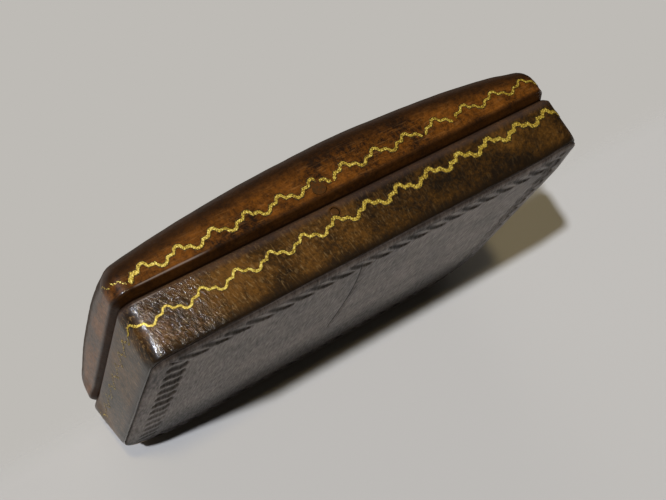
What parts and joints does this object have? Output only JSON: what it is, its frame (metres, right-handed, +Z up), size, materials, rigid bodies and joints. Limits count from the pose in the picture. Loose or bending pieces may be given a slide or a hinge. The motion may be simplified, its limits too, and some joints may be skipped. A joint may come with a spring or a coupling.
{
  "type": "snuff box",
  "caption": "Small leather-covered wooden snuff box with a domed lid on a brass hinge, a push button catch, gold tooled wavy lines and a blind tooled underside.",
  "frame": {"origin": "middle of the underside, in the middle of the length and the width", "axes": "+Z up from the underside to the lid, X along the length, -Y to the front with the push button, +Y to the hinge"},
  "size_m": [0.09, 0.061, 0.024],
  "materials": {
    "panel_leather": "dark brown polished leather with a fine grain, blind tooled",
    "side_leather": "dark brown polished leather, gold tooled",
    "board": "plain fine-grained softwood",
    "strip": "thin smooth fruitwood strip",
    "lining": "aged matt paper",
    "brass": "dull aged brass",
    "spring": "blued spring steel"
  },
  "bodies": {
    "base": {"base_bottom_leather": "panel_leather", "base_side_leather": "side_leather", "base_floor_board": "board", "base_front_wall": "board", "base_back_wall": "board", "base_left_wall": "board", "base_right_wall": "board", "base_corner_blocks": "board", "neck_front": "strip", "neck_left": "strip", "neck_right": "strip", "back_liner": "strip", "base_floor_lining": "lining", "base_hinge_leaf": "brass", "base_hinge_nails": "brass", "hinge_pin": "brass", "button_bush": "brass", "catch_spring": "spring"},
    "lid": {"lid_leather": "side_leather", "lid_top_board": "board", "lid_front_wall": "board", "lid_back_wall": "board", "lid_left_wall": "board", "lid_right_wall": "board", "lid_corner_blocks": "board", "lid_lining": "lining", "lid_hinge_leaf": "brass", "lid_hinge_nails": "brass", "keeper_plate": "brass", "keeper_rivet": "brass"},
    "catch": {"push_button": "brass", "catch_plate": "brass"}
  },
  "joints": [
    {"name": "lid_hinge", "type": "hinge", "parent": "base", "child": "lid", "pos_m": [0, 0.02965, 0.0112], "axis": [-1, 0, 0], "range_deg": [0, 98]},
    {"name": "button_press", "type": "slide", "parent": "base", "child": "catch", "axis": [0, 1, 0], "range_m": [0, 0.0006], "stiffness_N_per_m": 1000, "deforming": ["catch_spring"]}
  ]
}
